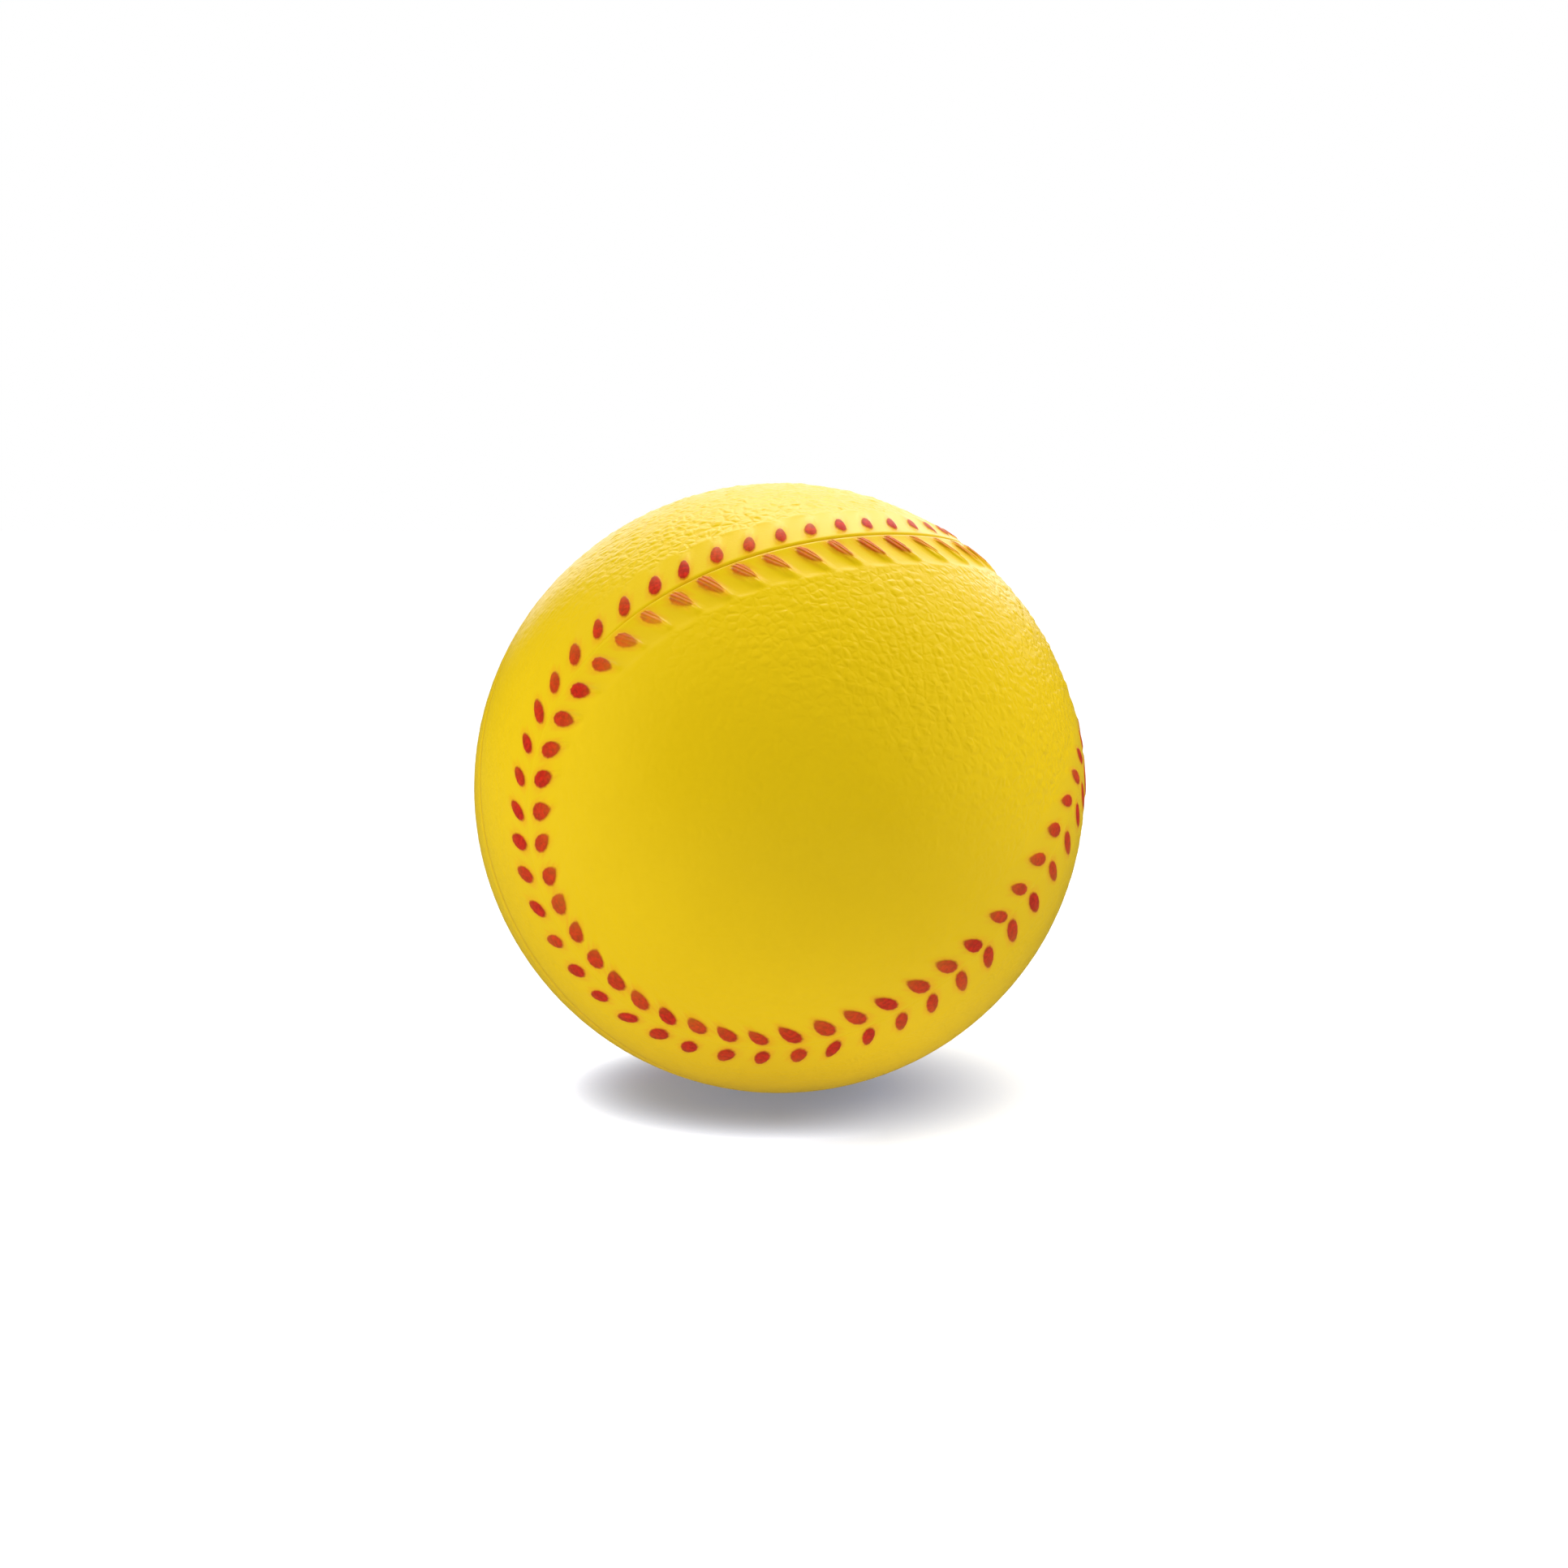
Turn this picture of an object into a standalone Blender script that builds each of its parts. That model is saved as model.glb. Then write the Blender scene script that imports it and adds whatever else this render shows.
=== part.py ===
"""A foam training baseball, in metres, centred on its own middle with +Z up.

The ball is a foam core in a dense skin. The skin is two figure-eight panels that a
groove parts along the seam. Along both sides of the groove the panels have slanted
leaf-shaped windows, and red strips under the skin show through them as the stitches.
"""
import math

import bmesh
import bpy
import numpy as np
from mathutils import Quaternion, Vector

# Ball, and the skin's least thickness, which is along the seam
BALL_DIAMETER = 0.0730
SKIN_AT_SEAM = 0.0006
CORE_GAP = 0.0003

# Shape of the seam on a ball of radius 1, as angles in radians
SEAM_WAIST = 0.298
SEAM_SWING = 0.4225
SEAM_LOBE = 0.059

# How the ball lies, as turns about X, Y and Z in degrees
LIE = (-118.44, 11.87, 106.81)

# Groove between the panels, and the lip of skin from the groove to the stitches
GROOVE_WIDTH = 0.0006
LIP_WIDTH = 0.0005
LIP_ROUND = 0.0002

# Stitches, measured along the skin. The lean is from square across the seam, in degrees
STITCH_PAIRS = 108
STITCH_LENGTH = 0.0030
STITCH_WIDTH = 0.0017
STITCH_LEAN = 26.0

# Where each row starts along the seam, counted in stitches
FRONT_ROW_START = 0.90
BACK_ROW_START = 0.56

# Red strips under the skin
STRIPS_PER_PANEL = 4
STRIP_THICKNESS = 0.0005
STRIP_MARGIN = 0.0004
STRIP_GAP = 0.00015

# Fineness of the meshes
PANEL_COLUMNS = 10
CORE_SUBDIVISIONS = 4
SMOOTH_ANGLE = 30.0

# Sizes that follow from the ones above
BALL_RADIUS = BALL_DIAMETER / 2
SKIN = SKIN_AT_SEAM + STRIP_GAP + STRIP_THICKNESS
SKIN_INSIDE = BALL_RADIUS - SKIN
BAND_INSIDE = BALL_RADIUS - SKIN_AT_SEAM
STRIP_OUTSIDE = BAND_INSIDE - STRIP_GAP
STRIP_INSIDE = STRIP_OUTSIDE - STRIP_THICKNESS
CORE_RADIUS = SKIN_INSIDE - CORE_GAP
STITCH_REACH = STITCH_LENGTH / 2 * math.cos(math.radians(STITCH_LEAN))
STITCH_OFFSET = GROOVE_WIDTH / 2 + LIP_WIDTH + STITCH_REACH
STRIP_NEAR = GROOVE_WIDTH / 2 + STRIP_GAP
STRIP_FAR = STITCH_OFFSET + STITCH_REACH + STRIP_MARGIN
BAND_END = STRIP_FAR + STRIP_GAP
STEP_END = BAND_END + SKIN - SKIN_AT_SEAM

YELLOW = (0.76, 0.54, 0.010, 1.0)
FOAM_YELLOW = (0.82, 0.64, 0.10, 1.0)
RED = (0.62, 0.030, 0.015, 1.0)


def seam_point(turn):
    """The seam's point on a ball of radius 1. One lap is four half turns."""
    swing = (math.pi / 2 - SEAM_WAIST) * math.cos(turn) - SEAM_LOBE * math.cos(3 * turn)
    tilt = math.pi / 2 - swing
    heading = turn / 2 + SEAM_SWING * math.sin(2 * turn)
    flat = math.sin(tilt)
    return Vector((flat * math.cos(heading), flat * math.sin(heading), math.cos(tilt)))


def seam_walk():
    """Turns along one lap of the seam, and the length walked to each of them."""
    turns = np.linspace(0.0, 4 * math.pi, 4001)
    points = np.array([seam_point(turn) for turn in turns])
    steps = np.linalg.norm(np.diff(points, axis=0), axis=1)
    return turns, np.concatenate(([0.0], np.cumsum(steps)))


SEAM_TURNS, SEAM_WALKED = seam_walk()
SEAM_LAP = SEAM_WALKED[-1]
STITCH_PITCH = SEAM_LAP * BALL_RADIUS / STITCH_PAIRS


def seam_frame(stitch):
    """Point, way along and way across the seam, at a place counted in stitches."""
    walked = (stitch / STITCH_PAIRS) % 1.0 * SEAM_LAP
    turn = float(np.interp(walked, SEAM_WALKED, SEAM_TURNS))
    point = seam_point(turn)
    chord = seam_point(turn + 0.001) - seam_point(turn - 0.001)
    along = (chord - chord.project(point)).normalized()
    return point, along, point.cross(along)


def beside_seam(stitch, offset, radius):
    """A point at an offset along the skin from the seam, at a radius from the middle."""
    point, _, across = seam_frame(stitch)
    angle = offset / BALL_RADIUS
    return (point * math.cos(angle) + across * math.sin(angle)) * radius


def row_of_verts(bm, stitches, offset, radius):
    """Vertices at the given places along a line beside the seam."""
    return [bm.verts.new(beside_seam(stitch, offset, radius)) for stitch in stitches]


def join_rows(bm, row, next_row):
    """A strip of faces between two rows of the same count."""
    pairs = list(zip(row, next_row))
    for (a, b), (c, d) in zip(pairs, pairs[1:]):
        bm.faces.new((a, c, d, b))


def thicken(bm, radius):
    """Close a sheet into a solid by extruding it out to a radius."""
    sheet = bm.verts[:] + bm.edges[:] + bm.faces[:]
    copied = bmesh.ops.extrude_face_region(bm, geom=sheet, use_keep_orig=True)["geom"]
    for item in copied:
        if isinstance(item, bmesh.types.BMVert):
            item.co = item.co.normalized() * radius
    bmesh.ops.recalc_face_normals(bm, faces=bm.faces[:])


def cross_row(bm, start, end):
    """Vertices along the great circle from one side of a panel to the other."""
    axis, angle = start.co.rotation_difference(end.co).to_axis_angle()
    row = [start]
    for column in range(1, PANEL_COLUMNS):
        turned = Quaternion(axis, angle * column / PANEL_COLUMNS) @ start.co
        row.append(bm.verts.new(turned))
    return row + [end]


def fill_panel(bm, ring, tip):
    """Rows of faces across a panel, from the tip of one lobe to the tip of the other."""
    count = len(ring)
    half = count // 2
    rows = []
    for step in range(1, half):
        start = ring[(tip + step) % count]
        end = ring[(tip - step) % count]
        rows.append(cross_row(bm, start, end))
    for row, next_row in zip(rows, rows[1:]):
        join_rows(bm, row, next_row)
    bm.faces.new([ring[tip]] + rows[0])
    bm.faces.new([ring[(tip + half) % count]] + rows[-1][::-1])


def round_lip(bm):
    """Round the outer edge of a panel where it meets the groove."""
    lip = []
    for edge in bm.edges:
        outer = all(vert.co.length > BALL_RADIUS - SKIN_AT_SEAM / 2 for vert in edge.verts)
        if outer and edge.calc_face_angle() > math.radians(60):
            lip.append(edge)
    bmesh.ops.bevel(bm, geom=lip, offset=LIP_ROUND, offset_type="OFFSET", segments=1,
                    profile=0.5, affect="EDGES")


def panel_solid(side):
    """A panel without windows: thin over its stitch band, and thick inside it."""
    bm = bmesh.new()
    lap = range(STITCH_PAIRS)
    edge = row_of_verts(bm, lap, side * GROOVE_WIDTH / 2, BAND_INSIDE)
    band = row_of_verts(bm, lap, side * BAND_END, BAND_INSIDE)
    step = row_of_verts(bm, lap, side * STEP_END, SKIN_INSIDE)
    join_rows(bm, edge + edge[:1], band + band[:1])
    join_rows(bm, band + band[:1], step + step[:1])
    fill_panel(bm, step, STITCH_PAIRS // 4 if side > 0 else 0)
    thicken(bm, BALL_RADIUS)
    round_lip(bm)
    return bm


def strip_solid(side, number):
    """One length of the red strip that lies under a panel's stitch band."""
    first = STITCH_PAIRS * number // STRIPS_PER_PANEL
    last = STITCH_PAIRS * (number + 1) // STRIPS_PER_PANEL
    end_gap = STRIP_GAP / 2 / STITCH_PITCH
    places = [first + end_gap] + list(range(first + 1, last)) + [last - end_gap]
    bm = bmesh.new()
    near = row_of_verts(bm, places, side * STRIP_NEAR, STRIP_INSIDE)
    far = row_of_verts(bm, places, side * STRIP_FAR, STRIP_INSIDE)
    join_rows(bm, near, far)
    thicken(bm, STRIP_OUTSIDE)
    return bm


def place_leaf(leaf, stitch, side):
    """Stretch a leaf of unit size to one stitch, and set it square to the skin."""
    point, along, across = seam_frame(stitch)
    angle = side * STITCH_OFFSET / BALL_RADIUS
    up = point * math.cos(angle) + across * math.sin(angle)
    away = (across * math.cos(angle) - point * math.sin(angle)) * side
    lean = math.radians(STITCH_LEAN)
    length_way = away * math.cos(lean) + along * math.sin(lean)
    width_way = length_way.cross(up)
    middle = up * (BALL_RADIUS - SKIN_AT_SEAM / 2)
    flat_width = STITCH_WIDTH / math.cos(math.pi / 6)
    for vert in leaf:
        x, y, z = vert.co
        vert.co = middle + width_way * (x * flat_width) + length_way * (y * STITCH_LENGTH) + up * z


def stitch_leaves(side):
    """Six-sided leaves through the skin, one for each stitch of a row."""
    row_start = BACK_ROW_START if side > 0 else FRONT_ROW_START
    bm = bmesh.new()
    for stitch in range(STITCH_PAIRS):
        leaf = bmesh.ops.create_cone(bm, cap_ends=True, segments=6, radius1=0.5, radius2=0.5,
                                     depth=2 * SKIN_AT_SEAM)
        place_leaf(leaf["verts"], stitch + row_start, side)
    bmesh.ops.recalc_face_normals(bm, faces=bm.faces[:])
    return bm


def core_solid():
    """The foam ball inside the skin."""
    bm = bmesh.new()
    bmesh.ops.create_icosphere(bm, subdivisions=CORE_SUBDIVISIONS, radius=CORE_RADIUS)
    return bm


def new_material(name, colour, roughness):
    """A plain material that is not metal."""
    material = bpy.data.materials.new(name)
    material.use_nodes = True
    material.diffuse_color = colour
    shader = material.node_tree.nodes["Principled BSDF"]
    shader.inputs["Base Color"].default_value = colour
    shader.inputs["Roughness"].default_value = roughness
    shader.inputs["Metallic"].default_value = 0.0
    return material


def new_collection(name):
    """A collection in the scene."""
    collection = bpy.data.collections.new(name)
    bpy.context.scene.collection.children.link(collection)
    return collection


def new_object(name, bm, collection, parent):
    """An object made from a bmesh, lying as its parent lies."""
    mesh = bpy.data.meshes.new(name)
    bm.to_mesh(mesh)
    bm.free()
    thing = bpy.data.objects.new(name, mesh)
    thing.parent = parent
    collection.objects.link(thing)
    return thing


def finish(part, material):
    """Give a part its material, and smooth shading that keeps its sharp edges."""
    part.data.materials.clear()
    part.data.materials.append(material)
    part.data.shade_smooth()
    part.data.set_sharp_from_angle(angle=math.radians(SMOOTH_ANGLE))


def cut(part, cutter):
    """Cut one object out of another for good."""
    boolean = part.modifiers.new("windows", "BOOLEAN")
    boolean.operation = "DIFFERENCE"
    boolean.solver = "EXACT"
    boolean.object = cutter
    with bpy.context.temp_override(object=part, active_object=part):
        bpy.ops.object.modifier_apply(modifier=boolean.name)


def make_half(name, side, parts, cutters, lie):
    """A panel with its windows, and the strips under its edge."""
    panel = new_object(name + "_panel", panel_solid(side), parts, lie)
    leaves = new_object(name + "_leaves", stitch_leaves(side), cutters, lie)
    leaves.hide_render = True
    leaves.display_type = "WIRE"
    cut(panel, leaves)
    finish(panel, new_material(name + "_skin", YELLOW, 0.45))
    for number in range(STRIPS_PER_PANEL):
        strip_name = f"{name}_stitches_{number + 1}"
        strip = new_object(strip_name, strip_solid(side, number), parts, lie)
        finish(strip, new_material(strip_name + "_red", RED, 0.5))


def build():
    """The whole ball, lying as it does on the ground."""
    for thing in list(bpy.data.objects):
        bpy.data.objects.remove(thing)
    parts = new_collection("foam_training_baseball")
    cutters = new_collection("cutters")
    cutters.hide_render = True
    lie = bpy.data.objects.new("ball_lie", None)
    lie.rotation_euler = [math.radians(angle) for angle in LIE]
    parts.objects.link(lie)
    core = new_object("foam_core", core_solid(), parts, lie)
    finish(core, new_material("foam", FOAM_YELLOW, 0.9))
    make_half("back", 1, parts, cutters, lie)
    make_half("front", -1, parts, cutters, lie)


build()
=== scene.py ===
# %% [markdown]
# # A foam training baseball
#
# The real ball is one moulding: soft yellow foam that sets in a metal mould, and grows a dense skin where it
# touches the metal. The mould also presses in what looks like a sewn cover: a thin groove along the seam of a
# baseball, two rows of leaf-shaped hollows beside it, and a pebble grain like leather. The hollows are then
# painted red. This lesson loads the plain CAD solids as a frame, and models the skin, the paint and the foam
# in the same place and at the same size.

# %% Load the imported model
import math
import random

import bmesh
import bpy
import numpy as np
from mathutils import Euler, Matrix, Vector
from mathutils.geometry import delaunay_2d_cdt
from mathutils.kdtree import KDTree


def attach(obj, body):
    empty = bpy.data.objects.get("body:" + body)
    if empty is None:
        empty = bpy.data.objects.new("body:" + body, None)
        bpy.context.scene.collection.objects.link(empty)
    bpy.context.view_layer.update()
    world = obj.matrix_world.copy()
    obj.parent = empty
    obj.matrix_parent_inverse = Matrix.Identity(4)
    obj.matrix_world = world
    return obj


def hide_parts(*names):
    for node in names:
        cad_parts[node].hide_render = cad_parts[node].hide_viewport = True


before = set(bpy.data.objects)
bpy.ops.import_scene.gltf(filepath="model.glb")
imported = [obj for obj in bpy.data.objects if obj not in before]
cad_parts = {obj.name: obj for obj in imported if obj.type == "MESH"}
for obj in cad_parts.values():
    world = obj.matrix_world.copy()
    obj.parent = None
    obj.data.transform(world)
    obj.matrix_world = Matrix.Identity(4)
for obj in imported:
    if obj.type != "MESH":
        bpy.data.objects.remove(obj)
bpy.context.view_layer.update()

MM = 0.001
BALL_RADIUS = 36.5 * MM

# %% [markdown]
# ## The seam
#
# A baseball's cover is two figure-eight panels, and the seam between them is one closed line that swings up
# twice and down twice on its way round the ball. It could be drawn by hand as a curve, but every stitch has to
# sit square to it, so it is a formula here. The panels, the hollows and the paint are all modelled flat, as a
# strip that is as long as the seam, and then wrapped on the ball along this line.

# %% Walk along the seam
SEAM_WAIST, SEAM_SWING, SEAM_LOBE = 0.298, 0.4225, 0.059
BALL_LIE = np.array(Euler([math.radians(turn) for turn in (-118.44, 11.87, 106.81)]).to_matrix())
STITCH_PAIRS = 108


def seam_points(turns):
    """Points of the seam on a ball of radius 1. One lap is two whole turns."""
    swing = (math.pi / 2 - SEAM_WAIST) * np.cos(turns) - SEAM_LOBE * np.cos(3 * turns)
    heading = turns / 2 + SEAM_SWING * np.sin(2 * turns)
    flat = np.cos(swing)
    return np.stack([flat * np.cos(heading), flat * np.sin(heading), np.sin(swing)], axis=-1)


SEAM_TURNS = np.linspace(0.0, 4 * math.pi, 4001)
seam_steps = np.linalg.norm(np.diff(seam_points(SEAM_TURNS), axis=0), axis=1)
SEAM_WALKED = np.concatenate(([0.0], np.cumsum(seam_steps)))
SEAM_LAP = SEAM_WALKED[-1]
PITCH = SEAM_LAP * BALL_RADIUS / STITCH_PAIRS
print("seam in mm:", round(SEAM_LAP * BALL_RADIUS / MM, 1), "pitch of the stitches:", round(PITCH / MM, 3))

# %% Put flat places on the ball


def seam_frames(stitches):
    """Points of the seam and the ways across it, at places counted in stitches."""
    walked = (np.asarray(stitches) / STITCH_PAIRS) % 1.0 * SEAM_LAP
    turns = np.interp(walked, SEAM_WALKED, SEAM_TURNS)
    point = seam_points(turns)
    chord = seam_points(turns + 0.001) - seam_points(turns - 0.001)
    along = chord - point * np.sum(chord * point, axis=1, keepdims=True)
    along /= np.linalg.norm(along, axis=1, keepdims=True)
    return point, np.cross(point, along)


def on_ball(stitches, offsets, heights):
    """Points beside the seam: stitches along it, an offset across it, and a height over the ball."""
    point, across = seam_frames(stitches)
    angle = np.asarray(offsets)[:, None] / BALL_RADIUS
    way = point * np.cos(angle) + across * np.sin(angle)
    return way * (BALL_RADIUS + np.asarray(heights))[:, None] @ BALL_LIE.T


seam_samples = np.linspace(0, STITCH_PAIRS, 6000, endpoint=False)
sample_point, sample_across = seam_frames(seam_samples)
sample_along = np.cross(sample_across, sample_point)
seam_tree = KDTree(len(seam_samples))
for number, place in enumerate(sample_point):
    seam_tree.insert(place, number)
seam_tree.balance()
print("samples of the seam:", len(seam_samples))


def beside_seam(points):
    """The other way round: for points on the ball, the stitch they are at and their offset from the seam."""
    ways = points @ BALL_LIE
    ways = ways / np.linalg.norm(ways, axis=1, keepdims=True)
    nearest = np.array([seam_tree.find(way)[1] for way in ways])
    offsets = np.arcsin(np.sum(ways * sample_across[nearest], axis=1)) * BALL_RADIUS
    ahead = np.sum(ways * sample_along[nearest], axis=1) * BALL_RADIUS / PITCH
    far = np.sum(ways * sample_point[nearest], axis=1) < 0
    return seam_samples[nearest] + ahead, np.where(far, np.sign(offsets) * BALL_RADIUS, offsets)


# %% [markdown]
# ## One stitch of the mould
#
# Seen flat, the strip beside the groove is the same little picture 108 times: half the groove, a low lip, a
# slim raised thread, and half of the smooth pocket on each side of it. So one stitch is modelled as a rectangle
# of skin one pitch long. It starts as a plane, bisect cuts it into columns and rows, the rows of the thread are
# narrowed, the pockets are sunk, and inset with a depth raises the thread.

# %% Select by place and edit


def only(thing):
    """Make one object the selected and active one."""
    bpy.ops.object.select_all(action="DESELECT")
    thing.select_set(True)
    bpy.context.view_layer.objects.active = thing


def pick_verts(thing, test):
    """In edit mode, select the vertices whose place passes a test."""
    bpy.ops.mesh.select_mode(type="VERT")
    bpy.ops.mesh.select_all(action="DESELECT")
    bm = bmesh.from_edit_mesh(thing.data)
    for vert in bm.verts:
        vert.select_set(bool(test(vert.co)))
    bm.select_flush_mode()
    bmesh.update_edit_mesh(thing.data)


def pick_faces(thing, test):
    """In edit mode, select the faces whose middle passes a test."""
    bpy.ops.mesh.select_mode(type="FACE")
    bpy.ops.mesh.select_all(action="DESELECT")
    bm = bmesh.from_edit_mesh(thing.data)
    for face in bm.faces:
        face.select_set(bool(test(face.calc_center_median())))
    bm.select_flush_mode()
    bmesh.update_edit_mesh(thing.data)


def lift_verts(thing, test, height):
    """Move the vertices that pass a test up or down."""
    pick_verts(thing, test)
    bpy.ops.transform.translate(value=(0, 0, height))


# %% Cut one stitch into rows and columns
ROWS = [row * MM for row in (0.004, 0.24, 0.60, 2.20, 4.90, 5.45, 6.00)]
SLIT, LIP, THREAD_NEAR, THREAD_WIDE, THREAD_FAR, POCKET_END, BAND_END = ROWS
THREAD_HALF_WIDTHS = {THREAD_NEAR: 0.45 * MM, THREAD_WIDE: 0.80 * MM, THREAD_FAR: 0.62 * MM}
COLUMNS = (0.25, 0.50, 0.75)
MIDDLE = PITCH / 2
TINY = 0.001 * MM

bpy.ops.object.select_all(action="DESELECT")
bpy.ops.mesh.primitive_plane_add(size=1, location=(0, 0, 0))
cell = bpy.context.object
cell.name = "stitch_cell"
bpy.ops.object.mode_set(mode="EDIT")
bpy.ops.mesh.select_all(action="SELECT")
bpy.ops.transform.resize(value=(PITCH, BAND_END - SLIT, 1), center_override=(0, 0, 0))
bpy.ops.transform.translate(value=(PITCH / 2, (BAND_END + SLIT) / 2, 0))
for column in COLUMNS:
    bpy.ops.mesh.select_all(action="SELECT")
    bpy.ops.mesh.bisect(plane_co=(column * PITCH, 0, 0), plane_no=(1, 0, 0))
for row in ROWS[1:-1]:
    bpy.ops.mesh.select_all(action="SELECT")
    bpy.ops.mesh.bisect(plane_co=(0, row, 0), plane_no=(0, 1, 0))
for row, half_width in THREAD_HALF_WIDTHS.items():
    pick_verts(cell, lambda co: abs(co.y - row) < TINY and abs(co.x - MIDDLE) < 0.3 * PITCH)
    bpy.ops.transform.resize(value=(half_width / (PITCH / 4), 1, 1), center_override=(MIDDLE, row, 0))
print("faces of one stitch before its thread:", len(bmesh.from_edit_mesh(cell.data).faces))

# %% Sink the pockets, raise the thread, shape the lip and the groove
POCKET_DEPTH, POCKET_BULGE = 0.30 * MM, 0.38 * MM
THREAD_REACH, THREAD_WALL, THREAD_RISE = 0.70 * MM, 0.18 * MM, 0.34 * MM
LIP_HEIGHT, GROOVE_SINK = 0.05 * MM, 0.30 * MM


def in_thread(co):
    """Whether a place is inside the outline of the thread's faces."""
    return THREAD_NEAR < co.y < THREAD_FAR and abs(co.x - MIDDLE) < THREAD_REACH


lift_verts(cell, lambda co: abs(co.y - THREAD_NEAR) < TINY, -POCKET_DEPTH / 2)
lift_verts(cell, lambda co: THREAD_WIDE - TINY < co.y < THREAD_FAR + TINY, -POCKET_DEPTH)
lift_verts(cell, lambda co: abs(co.y - THREAD_FAR) < TINY and abs(co.x - MIDDLE) < TINY, POCKET_DEPTH)
pick_verts(cell, lambda co: abs(co.y - THREAD_FAR) < TINY and min(co.x, PITCH - co.x) < TINY)
bpy.ops.transform.translate(value=(0, POCKET_BULGE, 0))
pick_faces(cell, in_thread)
bpy.ops.mesh.inset(thickness=THREAD_WALL, depth=THREAD_RISE)
lift_verts(cell, lambda co: co.y < SLIT + TINY, -GROOVE_SINK)
lift_verts(cell, lambda co: abs(co.y - LIP) < TINY, LIP_HEIGHT)
bpy.ops.object.mode_set(mode="OBJECT")
print("faces of one stitch:", len(cell.data.polygons))

# %% [markdown]
# ## The strip of 108 stitches
#
# An Array modifier repeats the stitch along the strip and merges the joints, and a Subdivision Surface rounds
# everything as the soft foam does. The Array comes first, so that the rounding runs on from stitch to stitch.

# %% Repeat and round the stitch


def apply_all(thing):
    """Apply an object's modifiers in their order."""
    only(thing)
    for modifier in list(thing.modifiers):
        bpy.ops.object.modifier_apply(modifier=modifier.name)


def coordinates(thing):
    """An object's vertices as an array."""
    places = np.empty(len(thing.data.vertices) * 3)
    thing.data.vertices.foreach_get("co", places)
    return places.reshape(-1, 3)


def set_coordinates(thing, places):
    """Give an object's vertices new places."""
    thing.data.vertices.foreach_set("co", np.asarray(places, dtype=float).ravel())
    thing.data.update()


repeat = cell.modifiers.new("row_of_stitches", "ARRAY")
repeat.count = STITCH_PAIRS
repeat.use_merge_vertices = True
repeat.merge_threshold = TINY
rounding = cell.modifiers.new("soft_edges", "SUBSURF")
rounding.levels = rounding.render_levels = 1
rounding.boundary_smooth = "PRESERVE_CORNERS"
apply_all(cell)
print("faces of the flat strip:", len(cell.data.polygons))

# %% [markdown]
# ## Wrap the strip on the ball
#
# The strip is bent along the seam in code, because no modifier bends a strip along a line that lies on a
# ball. The stitches lean as it is wrapped: each row slides along the seam the further out it lies. The mould
# was cut by hand, so neither the spacing nor the lean is quite even, and the relief is worn almost smooth in
# most places. Short tables give these at some stitches, and straight lines join the values in between.

# %% How the two rows run
SIDE = {"front": -1, "back": 1}
STITCH_OFFSET = 2.15 * MM
ROW_PLACE = {
    "front": {20: 0.50, 33: 0.38, 36: 0.72, 39: 0.88, 45: 1.06, 50: 0.92, 55: 0.79, 62: 0.86, 72: 0.80,
              76: 1.02, 84: 0.80},
    "back": {4: 0.36, 24: -0.18, 34: -0.18, 36: 0.26, 38: 0.62, 40: 0.78, 44: 0.95, 48: 1.04, 52: 0.84,
             55: 0.87, 57: 0.70, 60: 0.52, 64: 0.38, 72: 0.36}}
ROW_LEAN = {
    "front": {34: 35, 38: 29, 44: 27, 47: 42, 51: 45, 54: 32, 60: 25, 65: 22, 74: 25},
    "back": {34: -5, 37: 2, 40: 10, 43: 24, 46: 17, 52: 22, 60: 27, 66: 19, 72: 28}}
RELIEF = {
    "front": {56: 0.12, 64: 1.00, 78: 1.00, 86: 0.12},
    "back": {60: 0.12, 66: 0.50, 76: 0.50, 84: 0.12}}
GROOVE_DEPTH = {62: 0.03, 65: 0.50, 68: 1.00, 78: 1.00, 88: 0.03}
STRANDS = {"front": {62: 0.00, 65: 1.00, 76: 1.00, 80: 0.00}, "back": {0: 0.00}}
ROUNDS = 12


def along_row(table, numbers):
    """The values of a table at any places along a row."""
    return np.interp(numbers, list(table), list(table.values()), period=STITCH_PAIRS)


def slide(name, numbers, offsets):
    """How far along the seam a place slides for its offset, so that the stitches lean."""
    out = np.minimum(offsets, BAND_END) - STITCH_OFFSET
    return np.tan(np.radians(along_row(ROW_LEAN[name], numbers))) * out


def in_row(name, stitches, offsets):
    """The other way round: a row's nearest stitch, and how far along from its thread places are."""
    numbers = np.asarray(stitches)
    for _ in range(ROUNDS):
        numbers = stitches - along_row(ROW_PLACE[name], numbers) - slide(name, numbers, offsets) / PITCH
    nearest = np.round(numbers)
    return nearest.astype(int) % STITCH_PAIRS, (numbers - nearest) * PITCH


for name in SIDE:
    print(name, "lean of stitch 50 in degrees:", round(float(along_row(ROW_LEAN[name], 50)), 1))


# %% Lean and wrap


def wrap(name, flat):
    """Places of a flat strip, on the ball beside the seam."""
    numbers = flat[:, 0] / PITCH - 0.5
    along = numbers + along_row(ROW_PLACE[name], numbers) + slide(name, numbers, flat[:, 1]) / PITCH
    outer = np.clip((flat[:, 1] - LIP) / (THREAD_NEAR - LIP), 0, 1)
    relief = (1 - outer) * along_row(GROOVE_DEPTH, along) + outer * along_row(RELIEF[name], numbers)
    return on_ball(along, SIDE[name] * flat[:, 1], flat[:, 2] * relief)


def copy_of(thing, name):
    """A copy of an object with its own mesh."""
    only(thing)
    bpy.ops.object.duplicate(linked=False)
    copied = bpy.context.object
    copied.name = copied.data.name = name
    return copied


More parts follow.
